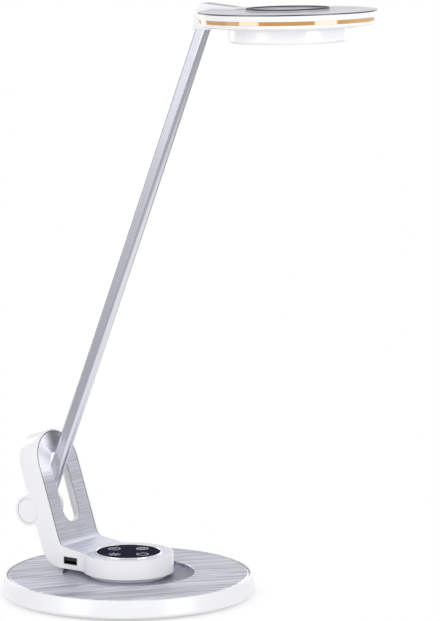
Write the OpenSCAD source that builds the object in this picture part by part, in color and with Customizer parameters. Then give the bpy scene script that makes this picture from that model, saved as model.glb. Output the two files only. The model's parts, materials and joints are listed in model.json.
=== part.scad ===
// Desk lamp: a weighted round base, an L-shaped bracket that swivels on it, a flat-oval arm that swings
// through the slot of the upright, and a round LED head that tilts on a forked neck.
// Origin: centre of the base on the table. +X points forward, towards the head, and +Z points up.

/* [Base] */
// Widest diameter of the base
base_d = 200; // [180:1:240]
// Height of the brushed top plate above the table
base_h = 15.8; // [15:0.1:24]
// Height of the gap that the rubber pad leaves under the base
foot_lift = 1.5; // [1:0.1:2.4]
// How far the rim leans in from its widest line to its top
rim_taper = 3; // [1:0.1:6]
// Radius of the rounded lower edge of the rim
rim_round = 3; // [1:0.1:5]
// Wall thickness of the base shell
base_wall = 2.5; // [2:0.1:4]
// Thickness of the deck that carries the top plate
deck_t = 2; // [1.5:0.1:3]
// Thickness of the brushed top plate
plate_t = 2; // [1.4:0.1:3]
// Rise of the top plate from its edge to the sunk disc
plate_crown = 1; // [0.2:0.1:2]
// Diameter of the sunk disc round the foot
recess_d = 104; // [85:1:130]
// Thickness of the sunk disc
disc_t = 0.6; // [0.4:0.1:1]
// Gap between the ballast screws and the bottom cover
ballast_gap = 0.8; // [0.3:0.1:3]
// Thickness of the bottom cover
cover_t = 1.6; // [1.2:0.1:2.5]
// Distance of the rubber pad's edge inside the cover screws
rubber_inset = 6; // [1:0.5:30]
// Inner diameter of the power inlet
inlet_d = 6.4; // [5.5:0.1:7]

/* [Swivel] */
// Diameter of the swivel stud
stud_d = 12; // [8:0.5:16]
// Diameter of the wire passage through the stud
stud_bore_d = 7.2; // [4:0.1:8]
// Wall of the swivel bush
bush_wall = 3; // [2:0.1:4]
// Outer diameter of the glide ring under the foot
glide_d = 60; // [44:1:66]

/* [Bracket] */
// Width of the foot strip and of the upright
bracket_w = 51; // [46:1:60]
// Thickness of the upright
upright_t = 18; // [14:0.5:24]
// Angle by which the upright leans back
lean = 18.4; // [10:0.1:25]
// Distance from the bend up to the centre of the rounded top
arch_s = 65.6; // [55:0.1:85]
// Distance from the middle of the foot pad back to the bend
bend_back = 48.8; // [45:0.1:60]
// Rise of the strip's top from the pad to the bend
bend_rise = 3.5; // [1:0.1:8]
// Radius of the inner bend
bend_r = 7; // [3:0.5:12]
// Radius of the outer corner at the back
heel_r = 20; // [10:1:24]
// Diameter of the foot pad
pad_d = 71.2; // [66:0.1:84]
// Height of the foot pad
pad_h = 14.8; // [14:0.1:20]
// Gap between the base plate and the foot pad
pad_lift = 1.9; // [0.5:0.1:3]
// Gap between the top plate and the strip behind the pad
strip_gap = 1.4; // [0.6:0.1:3]
// Wall thickness of the bracket shell
shell_wall = 2.2; // [1.6:0.1:3]
// Thickness of the brushed panel
panel_t = 1; // [0.6:0.1:1.5]
// Width of the white border beside the panel
panel_border = 1.1; // [0.8:0.1:4]
// Width of the white rim round the panel's end on the foot pad
pad_border = 2.2; // [1.5:0.1:4]
// Radius of the hollow corner between the strip's side and the foot pad
web_r = 18; // [8:1:30]
// Width of the slot in the upright
slot_w = 20; // [17:0.5:24]
// Distance between the two end centres of the slot
slot_len = 37.7; // [34:0.1:50]
// Distance from the centre of the arch down to the upper end centre of the slot
slot_drop = 2.3; // [0:0.1:4]
// Depth of the slot, from the panel's face to the open back of the upright
web_t = 5; // [4.5:0.1:7]

/* [Touch panel and USB socket] */
// Diameter of the touch glass
glass_d = 50; // [40:1:54]
// Thickness of the touch glass
glass_t = 1.4; // [1:0.1:2]
// Width of the bright ring round the glass
trim_w = 1.6; // [1:0.1:3]
// How far the bright ring stands above the panel
trim_rise = 0.7; // [0.3:0.1:1.5]
// Outer diameter of a touch mark
mark_d = 7.5; // [5:0.1:9]
// Thickness of the circuit boards
board_t = 1.6; // [1:0.1:2]
// Inner width of the USB socket
usb_w = 12.5; // [11:0.1:14]
// Inner height of the USB socket
usb_h = 5.1; // [4.5:0.1:6]
// Depth of the USB socket
usb_depth = 14; // [12:0.5:18]
// Distance from the bend forward to the middle of the USB socket
usb_ahead = 10.7; // [9:0.1:14]

/* [Arm] */
// Distance up the upright from the bend to the arm hinge
hinge_s = 32.9; // [30:0.1:38]
// Radius of the hinge barrel
barrel_r = 11.5; // [9:0.5:13]
// Distance of the hinge bolt behind the back of the upright
barrel_back = 4.5; // [3:0.1:7]
// Length of the hinge barrel on the far side of the arm
barrel_far = 5.4; // [5.2:0.1:6]
// Width of the hinge boss beyond the barrel
boss_rim = 0.7; // [0.4:0.1:1.5]
// Width of the hinge boss round its cap
cap_rim = 2.2; // [1.5:0.1:3]
// Thickness of each hinge cap
cap_t = 3; // [2.4:0.1:5]
// Diameter of the hinge bolt
bolt_d = 8; // [5:0.5:9]
// Thickness of each friction washer of the arm hinge
washer_t = 0.6; // [0.4:0.1:1]
// Angle by which the arm leans forward at rest
arm_lean = 22.1; // [20:0.1:30]
// Distance of the arm's centre line in front of the hinge bolt
arm_set = -2.5; // [-4:0.1:4]
// Width of the arm tube in the plane of its swing
arm_w = 12.6; // [11:0.1:16]
// Thickness of the arm tube across its swing
arm_t = 7; // [5.5:0.1:8]
// Wall of the arm tube
arm_wall = 1; // [0.6:0.1:1.4]
// Distance along the arm from the hinge bolt to the lower end of the tube
arm_start = 15; // [13.5:0.5:20]
// Distance along the arm from the hinge bolt to the head hinge
arm_len = 422.8; // [300:0.1:500]
// Length of the plugs that fit into the tube
plug_len = 30; // [20:1:45]

/* [Head] */
// Angle by which the free edge of the head is raised at rest
head_tilt = 1.2; // [0:0.1:5]
// Diameter of the head's rim
head_d = 135.4; // [120:0.1:170]
// Distance from the head hinge to the back of the rim
neck_gap = 7.6; // [7:0.1:16]
// Height of the head's top plate above the head hinge
neck_drop = 8.9; // [7:0.1:11]
// Height of the rim
rim_h = 9.5; // [8.6:0.1:14]
// How far the rim leans in from its top to its bottom
rim_lean = 2.3; // [0:0.1:2.6]
// Wall of the rim beside the top plate
rim_lip = 0.9; // [0.7:0.1:3]
// Depth of the slanting underside of the head
under_h = 3; // [1:0.1:8]
// Height of the amber band
band_h = 2.7; // [2:0.1:3.3]
// Distance of the amber band below the top of the rim
band_drop = 4.2; // [3:0.1:4.8]
// Thickness of the head's top plate
head_plate_t = 2.1; // [1.8:0.1:2.6]
// How far the top plate stands above the rim
plate_stand = 0.9; // [0.4:0.1:1.2]
// Outer diameter of the bright centre ring
ring_d = 63; // [50:1:80]
// Width of the bright centre ring
ring_w = 2.9; // [2:0.1:5]
// Height of the centre ring above the top plate
ring_rise = 2.2; // [1.5:0.1:5]
// Diameter of the diffuser drum
drum_d = 88.6; // [70:0.1:110]
// Height of the diffuser drum
drum_h = 9.8; // [7:0.1:20]
// Wall of the diffuser drum
drum_wall = 1.8; // [1:0.1:2.4]
// Number of LEDs in the outer circle
led_count = 18; // [8:1:24]
// Thickness of each cheek of the neck fork
cheek_t = 1.8; // [1.4:0.1:3]
// Thickness of the head hinge washers
head_washer_t = 0.4; // [0.3:0.1:0.8]
// Diameter of the head hinge pin
pin_d = 4; // [3:0.1:5]
// Height of the neck's back above the head's top plate
neck_rise = 5; // [4:0.1:9]
// Length of the neck's tail on the top plate
neck_tail = 25; // [21:0.5:34]

/* [Hidden] */
$fn = 96;
// Radial play of a running fit
fit = 0.05;
// Play between seated pieces
seat = 0.1;
// Play between pieces that move past each other
free_play = 0.3;
// Overrun of a cutting solid
over = 1;

// Heights of the base, from the table up
shell_z = foot_lift;
cover_inset = 0.5;
cover_z = foot_lift + cover_inset;
cover_top = cover_z + cover_t;
deck_top = base_h - plate_t;
deck_z = deck_top - deck_t;
base_r = base_d / 2;
rim_top_r = base_r - rim_taper;
rim_land = 1.5;
rim_top_round = 1;
plate_r = rim_top_r - rim_land;
plate_bevel = [1.8, 1];
plate_edge = 0.4;
skirt_r = rim_top_r - base_wall;
cover_r = skirt_r - free_play;
recess_r = recess_d / 2;
boss_r = 3.5;
boss_room = 2;
cover_boss_at = skirt_r - boss_r - boss_room;
ballast_r = cover_boss_at - boss_r - 1;
ballast_in_r = 30;
ballast_grip = 0.4;
ballast_boss_at = (ballast_r + ballast_in_r) / 2;
screw_r = 1.5;
screw_head_r = 3;
screw_head_h = 1.4;
ballast_t = deck_z - cover_top - screw_head_h - ballast_gap;
cover_screw_len = 5;
rubber_r = cover_boss_at - screw_head_r - rubber_inset;
inlet_r = inlet_d / 2;
inlet_len = 12;
inlet_floor = 1.5;
inlet_shy = 1.4;
inlet_block_w = 9;
inlet_room = 3.5;
inlet_pin_r = 1;
inlet_z = (cover_top + deck_z) / 2;
inlet_margin = 0.4;
inlet_wall = (deck_z - cover_top) / 2 - inlet_r - inlet_margin;

// Swivel between base and bracket
stud_r = stud_d / 2;
bush_r = stud_r + fit + bush_wall;
bush_flange_r = bush_r + 5;
hub_wall = 4;
hub_boss_r = bush_r + hub_wall;
spring_washer_t = 0.8;
nut_h = 3.2;
stud_tip = 0.4;
stud_room = 0.6;
nut_z = cover_top + stud_room + stud_tip;
hub_boss_z = nut_z + nut_h + spring_washer_t;
flange_rim = 5;
pad_z = base_h + pad_lift;
plate_under_t = 2.2;
flange_h = 2.2;
flange_r = stud_r + flange_rim;

// Bracket outline in the plane of symmetry
pad_r = pad_d / 2;
pad_top = pad_z + pad_h;
panel_pad_r = pad_r - pad_border;
web_y = bracket_w / 2 + web_r;
web_x = -sqrt((pad_r + web_r) * (pad_r + web_r) - web_y * web_y);
web_turn = atan2(-web_x, web_y);
strip_z = base_h + plate_crown + strip_gap;
panel_half = bracket_w / 2 - panel_border;
join_x = -sqrt(pad_r * pad_r - bracket_w * bracket_w / 4);
bend = [-bend_back, pad_top + bend_rise];
slope = atan2(bend_rise, join_x - bend.x);
out_front = [cos(lean), sin(lean)];
up_front = [-sin(lean), cos(lean)];
out_top = [sin(slope), cos(slope)];
top_s = arch_s + bracket_w / 2;
slot_r = slot_w / 2;
slot_top_s = arch_s - slot_drop;
slot_low_s = slot_top_s - slot_len;
open_below = 3;
open_s = slot_low_s - slot_r - open_below;
deck_under = pad_top - panel_t - shell_wall;
foot_plate_r = pad_r - shell_wall - seat;
foot_boss_edge = 4.7;
foot_boss_at = foot_plate_r - foot_boss_edge;
foot_boss_angles = [0, 110, 250];
foot_screw_r = 1.2;
foot_screw_head_r = 2.2;
foot_screw_len = 4;
foot_hole_len = 6;
foot_plate_top = pad_z + plate_under_t;

// Touch panel and USB socket
glass_r = glass_d / 2;
trim_in_r = glass_r + seat;
trim_r = trim_in_r + trim_w;
panel_hole_r = trim_r + seat;
touch_ledge = 0.4;
touch_seat_r = glass_r - touch_ledge;
seat_z = pad_top - panel_t;
mark_t = 0.15;
mark_line = 0.9;
mark_edge = 10;
mark_at = glass_r - mark_edge;
mark_angles = [174, 80, 354, 260];
usb_skin = 0.4;
strip_floor = strip_z + shell_wall;
board_top = strip_floor + board_t;
usb_z = board_top + usb_skin + usb_h / 2;
usb_x = bend.x + usb_ahead;
usb_tongue_h = 1.84;
usb_tongue_gap = 0.9;
usb_tongue_w = usb_w - 2 * 0.7;
usb_back_t = 1.5;
board_ahead = 3;
board_len = 17.8;

// Arm hinge
hinge_in = -(upright_t + barrel_back);
hinge_x = bend.x + hinge_in * out_front.x + hinge_s * up_front.x;
hinge_z = bend.y + hinge_in * out_front.y + hinge_s * up_front.y;
bolt_r = bolt_d / 2;
hinge_boss_r = barrel_r + boss_rim;
cap_r = hinge_boss_r - cap_rim;
near_out = bracket_w / 2 - cap_t;
barrel_near = slot_r - washer_t;
far_out = barrel_far + washer_t;
bolt_head_rim = 2.5;
bolt_head_r = bolt_r + bolt_head_rim;
bolt_head_h = 1.4;
washer_edge = 1.5;
knuckle_more = 2.5;
knuckle_t = arm_t + knuckle_more;

// Arm and head hinge
tube_in_w = arm_w - 2 * arm_wall;
tube_in_t = arm_t - 2 * arm_wall;
plug_w = tube_in_w - 2 * seat;
plug_t = tube_in_t - 2 * seat;
head_x = hinge_x + arm_set * cos(arm_lean) + arm_len * sin(arm_lean);
head_z = hinge_z - arm_set * sin(arm_lean) + arm_len * cos(arm_lean);
pin_r = pin_d / 2;
wire_room = 0.75;
wire_r = tube_in_t / 2 - wire_room;
set_screw_r = 1.25;
set_screw_from = 0.4;
plug_end_r = arm_w / 2 - 0.5;

// Head
head_r = head_d / 2;
head_reach = head_r + neck_gap;
head_plate_r = head_r - rim_lip - seat;
plate_ledge = 2.8;
rim_in_r = head_plate_r - plate_ledge;
band_t = 1.2;
band_proud = 0.1;
drum_r = drum_d / 2;
floor_t = 1.6;
floor_rim = 2;
port_edge = 3;
rim_low = -plate_stand - rim_h;
floor_z = rim_low - under_h;
port_r = drum_r - port_edge;
spreader_r = drum_r - 0.5;
spreader_t = 2;
led_screw_at = drum_r - port_edge / 2;
led_screw_r = 0.9;
led_screw_head_r = 1.8;
led_screw_head_h = 1;
led_board_r = port_r - 0.5;
led_rows = [6, 18];
led_size = 3;
led_h = 0.8;
ring_r = ring_d / 2;
ring_in_r = ring_r - ring_w;
ring_flange = 2.5;
ring_flange_t = 1.2;
ring_ledge = 1.6;
disc_rise = 0.4;
drum_round = 2.5;
cheek_in = arm_t / 2 + head_washer_t;
neck_half = cheek_in + cheek_t;
neck_clear = arm_w / 2 + 0.4;
neck_front = neck_gap - 0.25;
fork_cut = 4 * arm_w;
neck_top = neck_drop + neck_rise;
neck_tip = neck_front + neck_tail;
tip_t = 1.8;
inlay_t = 0.6;
inlay_edge = 1.2;
inlay_half = neck_half - inlay_edge;
pin_cover = 0.6;
neck_screw_xs = [neck_front + 8, neck_front + 13.5];
neck_screw_r = 1.1;
neck_screw_head_r = 2;
neck_screw_bite = 1.3;

// Outline of the neck: its back from the top down, and its slanting top
neck_floor = -6.3;
neck_spine = [[-5.3, neck_drop - 0.5], [-7.3, 3.2], [-9, neck_floor]];
neck_back = [-1, neck_top];
neck_low = [neck_tip, neck_drop + tip_t];

// Colours as the photograph shows them
white = [0.95, 0.95, 0.97];
silver = [0.73, 0.75, 0.79];
steel = [0.62, 0.63, 0.66];
chrome = [0.85, 0.86, 0.88];
dark = [0.12, 0.12, 0.16];
rubber = [0.15, 0.15, 0.15];
amber = [0.82, 0.55, 0.22];
brass = [0.78, 0.63, 0.3];
board_green = [0.1, 0.35, 0.2];
led_yellow = [0.95, 0.88, 0.5];
glide_grey = [0.3, 0.31, 0.36];

function unit(v) = v / norm(v);

// Points of a fillet of radius r at corner b, coming from a and going on to c
function fillet(a, b, c, r, steps = 10) =
    let (u = unit(a - b), v = unit(c - b), half = acos(u * v) / 2, m = b + unit(u + v) * r / sin(half),
        s = b + u * r / tan(half), e = b + v * r / tan(half), from = atan2(s.y - m.y, s.x - m.x),
        turn = (atan2(e.y - m.y, e.x - m.x) - from + 900) % 360 - 180)
    [for (i = [0:steps]) m + r * [cos(from + turn * i / steps), sin(from + turn * i / steps)]];

// Bend point of the bracket outline, set in from the upright's front and from the strip's top
function bend_point(front_in, top_in) =
    let (det = out_front.x * out_top.y - out_front.y * out_top.x)
    bend + [top_in * out_front.y - front_in * out_top.y, front_in * out_top.x - top_in * out_front.x] / det;

// Heel point of the bracket outline, set in from the upright's back and from the strip's underside
function heel_point(back_in, floor_in) =
    let (z = strip_z + floor_in)
    [bend.x + (back_in - upright_t - (z - bend.y) * out_front.y) / out_front.x, z];

// Side outline of the L-shaped bracket, with each face set in by its own distance
function bracket_outline(front_in, top_in, floor_in, back_in) =
    let (b = bend_point(front_in, top_in), h = heel_point(back_in, floor_in),
        front_top = bend - front_in * out_front + (top_s + over) * up_front,
        back_top = bend - (upright_t - back_in) * out_front + (top_s + over) * up_front,
        join = [join_x - top_in * tan(slope / 2), pad_top - top_in],
        toe_top = [0, pad_top - top_in], toe_low = [0, strip_z + floor_in])
    concat([front_top], fillet(front_top, b, join, bend_r + front_in), [join, toe_top, toe_low],
        fillet(toe_low, h, back_top, heel_r - back_in), [back_top]);

// Frame of the upright: x out of its front, z up from the bend
module at_upright() translate([bend.x, 0, bend.y]) rotate([0, -lean, 0]) children();

// Frame of the arm: origin on the hinge bolt, z along the arm
module at_arm() translate([hinge_x, 0, hinge_z]) rotate([0, arm_lean, 0]) children();

// Frame of the neck: origin on the head hinge pin, x towards the head
module at_neck() translate([head_x, 0, head_z]) rotate([0, -head_tilt, 0]) children();

// Frame of the head: origin in the middle of its top plate
module at_head() at_neck() translate([head_reach, 0, neck_drop]) children();

// Copies at equal angles round the Z axis
module ring_of(count, at, from = 0) for (i = [0:count - 1]) rotate(from + 360 * i / count) translate([at, 0, 0])
    children();

// Round rod along Y between two distances
module rod_y(r, from, to) translate([0, from, 0]) rotate([-90, 0, 0]) cylinder(r = r, h = to - from);

// Solid with the given side outline in X and Z, as wide as twice half
module side_prism(points, half) rotate([90, 0, 0]) linear_extrude(2 * half, center = true) polygon(points);

// Flat ring
module flat_ring(outer, inner, h) difference() {
    cylinder(r = outer, h = h);
    translate([0, 0, -over]) cylinder(r = inner, h = h + 2 * over);
}

// Flat-oval outline, long along X
module oval(w, t) {
    square([w - t, t], center = true);
    for (side = [-1, 1]) translate([side * (w - t) / 2, 0]) circle(d = t);
}

// What lies outside the rounded top of the upright, for a top of radius r
module above_arch(r) at_upright() translate([-upright_t, 0, arch_s]) difference() {
    translate([-2 * upright_t, -bracket_w, 0]) cube([5 * upright_t, 2 * bracket_w, bracket_w]);
    rotate([0, 90, 0]) translate([0, 0, -3 * upright_t]) cylinder(r = r, h = 7 * upright_t);
}

// Slot outline through the upright, widened by grow
module slot_solid(grow) at_upright() translate([-2 * upright_t, 0, 0]) rotate([90, 0, 90])
    linear_extrude(3 * upright_t) {
        for (s = [slot_low_s, slot_top_s]) translate([0, s]) circle(r = slot_r + grow);
        translate([-slot_r - grow, slot_low_s]) square([2 * (slot_r + grow), slot_len]);
    }

// Screw along Z with its head below z = 0 and its shank going up
module screw(shank_r, shank_h, head_r, head_h) {
    translate([0, 0, -head_h]) cylinder(r = head_r, h = head_h);
    cylinder(r = shank_r, h = shank_h);
}

module base_shell() color(white) difference() {
    union() {
        rotate_extrude() polygon(concat(
            fillet([0, shell_z], [base_r, shell_z], [base_r, base_h], rim_round),
            fillet([base_r, shell_z + rim_round], [rim_top_r, base_h], [plate_r, base_h], rim_top_round),
            [[plate_r + seat, base_h], [plate_r + seat, deck_top], [bush_r + fit, deck_top],
                [bush_r + fit, hub_boss_z], [hub_boss_r, hub_boss_z], [hub_boss_r, deck_z], [skirt_r, deck_z],
                [skirt_r, shell_z]]));
        ring_of(4, cover_boss_at, 45) translate([0, 0, cover_top]) cylinder(r = boss_r,
            h = deck_z - cover_top + deck_t / 2);
        ring_of(3, ballast_boss_at) translate([0, 0, deck_z - ballast_t + ballast_grip]) cylinder(r = boss_r,
            h = ballast_t - ballast_grip + deck_t / 2);
    }
    ring_of(4, cover_boss_at, 45) translate([0, 0, cover_top - over]) cylinder(r = screw_r + fit,
        h = cover_screw_len + 2 * over);
    ring_of(3, ballast_boss_at) translate([0, 0, deck_z - ballast_t]) cylinder(r = screw_r + fit,
        h = ballast_t - over / 2);
    translate([-base_r - over, 0, inlet_z]) rotate([0, 90, 0]) cylinder(r = inlet_r + inlet_wall + seat,
        h = base_r - skirt_r + 2 * over + rim_taper);
}

module base_top_plate() color(silver) translate([0, 0, deck_top]) rotate_extrude() polygon([
    [recess_r, 0], [plate_r, 0], [plate_r, plate_t - plate_bevel.y], [plate_r - plate_bevel.x, plate_t],
    [recess_r + plate_edge, plate_t + plate_crown], [recess_r, plate_t + plate_crown - plate_edge]]);

module sunk_disc() color(glide_grey) translate([0, 0, deck_top]) flat_ring(recess_r - seat,
    bush_flange_r + free_play, disc_t);

module glide_ring() color(dark) translate([0, 0, deck_top + disc_t]) flat_ring(glide_d / 2,
    bush_flange_r + free_play, pad_z - deck_top - disc_t);

module swivel_bush() color(dark) difference() {
    union() {
        translate([0, 0, hub_boss_z]) cylinder(r = bush_r, h = deck_top - hub_boss_z);
        translate([0, 0, deck_top]) cylinder(r = bush_flange_r, h = pad_z - deck_top - free_play);
    }
    translate([0, 0, hub_boss_z - over]) cylinder(r = stud_r + fit, h = pad_z);
}

module ballast_plate() color(steel) difference() {
    translate([0, 0, deck_z - ballast_t]) flat_ring(ballast_r, ballast_in_r, ballast_t);
    ring_of(3, ballast_boss_at) translate([0, 0, deck_z - ballast_t - over]) cylinder(r = boss_r + free_play,
        h = ballast_t + 2 * over);
    translate([-base_r, -inlet_block_w / 2 - inlet_room, cover_top])
        cube([base_r - skirt_r + inlet_len + 2 * inlet_room, inlet_block_w + 2 * inlet_room, base_h]);
}

module ballast_screws() color(steel) ring_of(3, ballast_boss_at) translate([0, 0, deck_z - ballast_t])
    screw(screw_r, ballast_t - over, boss_r + 2, screw_head_h);

module bottom_cover() color(dark) difference() {
    translate([0, 0, cover_z]) cylinder(r = cover_r, h = cover_t);
    ring_of(4, cover_boss_at, 45) translate([0, 0, cover_z - over]) cylinder(r = screw_r + fit,
        h = cover_t + 2 * over);
}

module cover_screws() color(steel) ring_of(4, cover_boss_at, 45) translate([0, 0, cover_z]) screw(screw_r,
    cover_t + cover_screw_len, screw_head_r, screw_head_h);

module rubber_pad() color(rubber) cylinder(r = rubber_r, h = cover_z);

module power_inlet() color(dark) difference() {
    union() {
        translate([-skirt_r + free_play, -inlet_block_w / 2, cover_top])
            cube([inlet_len, inlet_block_w, deck_z - cover_top]);
        translate([-base_r + inlet_shy, 0, inlet_z]) rotate([0, 90, 0]) cylinder(r = inlet_r + inlet_wall,
            h = inlet_len);
    }
    translate([-base_r, 0, inlet_z]) rotate([0, 90, 0]) cylinder(r = inlet_r,
        h = inlet_shy + inlet_len - inlet_floor);
}

module power_inlet_pin() color(brass) translate([-base_r + 2 * inlet_shy, 0, inlet_z]) rotate([0, 90, 0])
    cylinder(r = inlet_pin_r, h = inlet_len - inlet_floor - inlet_shy);

// Solid boss that carries the hinge bolt, flush with the near side of the upright
module hinge_boss() at_upright() translate([hinge_in, 0, hinge_s]) rod_y(hinge_boss_r, -bracket_w / 2, -slot_r);

// Open back of the upright, down to the slot's wall
module back_opening() difference() {
    at_upright() translate([-2 * upright_t, shell_wall - bracket_w / 2, open_s]) cube([2 * upright_t - web_t,
        bracket_w - 2 * shell_wall, top_s]);
    above_arch(bracket_w / 2 - shell_wall);
}

// Sheet that follows the upright's front and the strip's top, let in by panel_t and raised by proud
module l_sheet(half, proud) difference() {
    side_prism(bracket_outline(-proud, -proud, 0, 0), half);
    side_prism(bracket_outline(panel_t, panel_t, -over, -over), half + over);
    above_arch(half);
}

// Hollow corners that lead the sides of the strip into the foot pad
module pad_webs() intersection() {
    side_prism(bracket_outline(0, 0, 0, 0), bracket_w);
    for (side = [-1, 1]) linear_extrude(2 * pad_top) polygon(concat([[web_x, 0]],
        [for (i = [0:12]) [web_x + web_r * sin(web_turn * i / 12), side * (web_y - web_r * cos(web_turn * i / 12))]]));
}

module bracket_shell() color(white) difference() {
    union() {
        difference() {
            union() {
                side_prism(bracket_outline(0, 0, 0, 0), bracket_w / 2);
                translate([0, 0, pad_z]) cylinder(r = pad_r, h = pad_h);
                pad_webs();
            }
            above_arch(bracket_w / 2);
            l_sheet(panel_half + seat, over);
            translate([0, 0, seat_z]) cylinder(r = panel_pad_r + seat, h = pad_h);
            difference() {
                side_prism(bracket_outline(panel_t + shell_wall, panel_t + shell_wall, shell_wall, shell_wall),
                    bracket_w / 2 - shell_wall);
                above_arch(bracket_w / 2 - shell_wall);
                slot_solid(shell_wall);
                at_upright() translate([-2 * upright_t, -bracket_w, open_s - shell_wall]) cube([3 * upright_t,
                    2 * bracket_w, shell_wall]);
            }
            back_opening();
            translate([0, 0, pad_z - over]) cylinder(r = pad_r - shell_wall, h = deck_under - pad_z + over);
        }
        for (angle = foot_boss_angles) rotate(angle) translate([foot_boss_at, 0, foot_plate_top])
            cylinder(r = boss_r, h = deck_under - foot_plate_top);
        hinge_boss();
    }
    slot_solid(0);
    translate([0, 0, seat_z]) cylinder(r = panel_hole_r, h = pad_h);
    translate([0, 0, deck_under - over]) cylinder(r = touch_seat_r, h = pad_h);
    for (angle = foot_boss_angles) rotate(angle) translate([foot_boss_at, 0, foot_plate_top - over])
        cylinder(r = foot_screw_r + fit, h = foot_hole_len + over);
    translate([usb_x - usb_w / 2 - usb_skin - seat, -bracket_w, usb_z - usb_h / 2 - usb_skin - seat])
        cube([usb_w + 2 * (usb_skin + seat), bracket_w, usb_h + 2 * (usb_skin + seat)]);
    translate([hinge_x, 0, hinge_z]) {
        rod_y(bolt_r + fit, -bracket_w, 0);
        rod_y(cap_r + seat, -bracket_w, -near_out);
    }
}

module bracket_panel() color(silver) difference() {
    union() {
        l_sheet(panel_half, 0);
        translate([0, 0, seat_z]) cylinder(r = panel_pad_r, h = panel_t);
    }
    slot_solid(0);
    translate([0, 0, seat_z - over]) cylinder(r = panel_hole_r, h = pad_h);
}

module foot_plate() color(steel) difference() {
    translate([0, 0, pad_z]) cylinder(r = foot_plate_r, h = plate_under_t);
    translate([0, 0, pad_z - over]) cylinder(r = stud_r + fit, h = plate_under_t + 2 * over);
    for (angle = foot_boss_angles) rotate(angle) translate([foot_boss_at, 0, pad_z - over]) {
        cylinder(r = foot_screw_r + fit, h = plate_under_t + 2 * over);
        cylinder(r = foot_screw_head_r + seat, h = screw_head_h + over);
    }
}

module foot_screws() color(steel) for (angle = foot_boss_angles) rotate(angle)
    translate([foot_boss_at, 0, pad_z + screw_head_h]) screw(foot_screw_r,
        plate_under_t + foot_screw_len, foot_screw_head_r,
        screw_head_h);

module swivel_stud() color(steel) difference() {
    union() {
        translate([0, 0, nut_z - stud_tip]) cylinder(r = stud_r, h = foot_plate_top - nut_z + stud_tip);
        translate([0, 0, foot_plate_top]) cylinder(r = flange_r, h = flange_h);
    }
    translate([0, 0, nut_z - over - stud_tip]) cylinder(d = stud_bore_d, h = pad_top);
}

module spring_washer() color(steel) translate([0, 0, nut_z + nut_h]) flat_ring(hub_boss_r - over, stud_r + seat,
    spring_washer_t);

module swivel_nut() color(steel) translate([0, 0, nut_z]) difference() {
    cylinder(r = stud_r * 1.75, h = nut_h, $fn = 6);
    translate([0, 0, -over]) cylinder(r = stud_r + fit, h = nut_h + 2 * over);
}

module touch_glass() color(dark) translate([0, 0, seat_z]) cylinder(r = glass_r, h = glass_t);

module touch_trim_ring() color(chrome) translate([0, 0, seat_z]) rotate_extrude() polygon(concat(
    [[trim_in_r, 0], [trim_r, 0]],
    fillet([trim_r, 0], [trim_r, panel_t + trim_rise], [trim_in_r, panel_t + trim_rise], trim_w / 3),
    fillet([trim_r, panel_t + trim_rise], [trim_in_r, panel_t + trim_rise], [trim_in_r, 0], trim_w / 3)));

module touch_marks() color(white) for (angle = mark_angles) rotate(angle)
    translate([mark_at, 0, seat_z + glass_t]) flat_ring(mark_d / 2, mark_d / 2 - mark_line, mark_t);

module touch_board() color(board_green) translate([0, 0, seat_z - board_t]) cylinder(r = touch_seat_r - seat,
    h = board_t);

module control_board() color(board_green) translate([bend.x + board_ahead, -bracket_w / 2 + shell_wall + over,
    strip_floor]) cube([board_len, bracket_w - 2 * (shell_wall + over), board_t]);

module usb_shell() color(steel) translate([usb_x, -bracket_w / 2, usb_z]) difference() {
    translate([-usb_w / 2 - usb_skin, seat, -usb_h / 2 - usb_skin])
        cube([usb_w + 2 * usb_skin, usb_depth, usb_h + 2 * usb_skin]);
    translate([-usb_w / 2, -over, -usb_h / 2]) cube([usb_w, usb_depth + 3 * over, usb_h]);
}

module usb_tongue() color(white) translate([usb_x, -bracket_w / 2, usb_z]) {
    translate([-usb_tongue_w / 2, over, usb_h / 2 - usb_tongue_h - usb_tongue_gap])
        cube([usb_tongue_w, usb_depth - usb_back_t, usb_tongue_h]);
    translate([-usb_w / 2, usb_depth - usb_back_t, -usb_h / 2]) cube([usb_w, usb_back_t, usb_h]);
}

module hinge_bolt() color(steel) translate([hinge_x, 0, hinge_z]) {
    rod_y(bolt_r, -near_out, far_out + bolt_head_h);
    rod_y(bolt_head_r, -near_out - bolt_head_h, -near_out);
}

module hinge_nut() color(steel) translate([hinge_x, 0, hinge_z]) difference() {
    rod_y(bolt_head_r, far_out, far_out + bolt_head_h);
    rod_y(bolt_r + fit, 0, far_out + cap_t);
}

module hinge_washers() color(brass) translate([hinge_x, 0, hinge_z]) for (y = [-slot_r, barrel_far])
    difference() {
        rod_y(barrel_r - washer_edge, y, y + washer_t);
        rod_y(bolt_r + seat, -bracket_w, bracket_w);
    }

// Round cap over one end of the hinge bolt, standing on its seat towards +Y
module hinge_cap(at) translate([hinge_x, at, hinge_z]) rotate([-90, 0, 0]) rotate_extrude() polygon(concat(
    [[bolt_head_r + seat, 0], [cap_r, 0]],
    fillet([cap_r, 0], [cap_r, cap_t], [0, cap_t], 0.4 * cap_t),
    [[0, cap_t], [0, bolt_head_h + seat], [bolt_head_r + seat, bolt_head_h + seat]]));

module hinge_cap_near() color(white) mirror([0, 1, 0]) hinge_cap(near_out);

module hinge_cap_far() color(white) hinge_cap(far_out);

module arm_knuckle() color(white) at_arm() difference() {
    union() {
        rod_y(barrel_r, -barrel_near, barrel_far);
        translate([arm_set, 0, 0]) linear_extrude(arm_start) oval(arm_w, knuckle_t);
        translate([arm_set, 0, arm_start - over]) linear_extrude(plug_len + over) oval(plug_w, plug_t);
    }
    rod_y(bolt_r + fit, -bracket_w, bracket_w);
    translate([arm_set, 0, arm_start + plug_len / 2]) rod_y(set_screw_r + fit, set_screw_from, arm_t);
}

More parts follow.
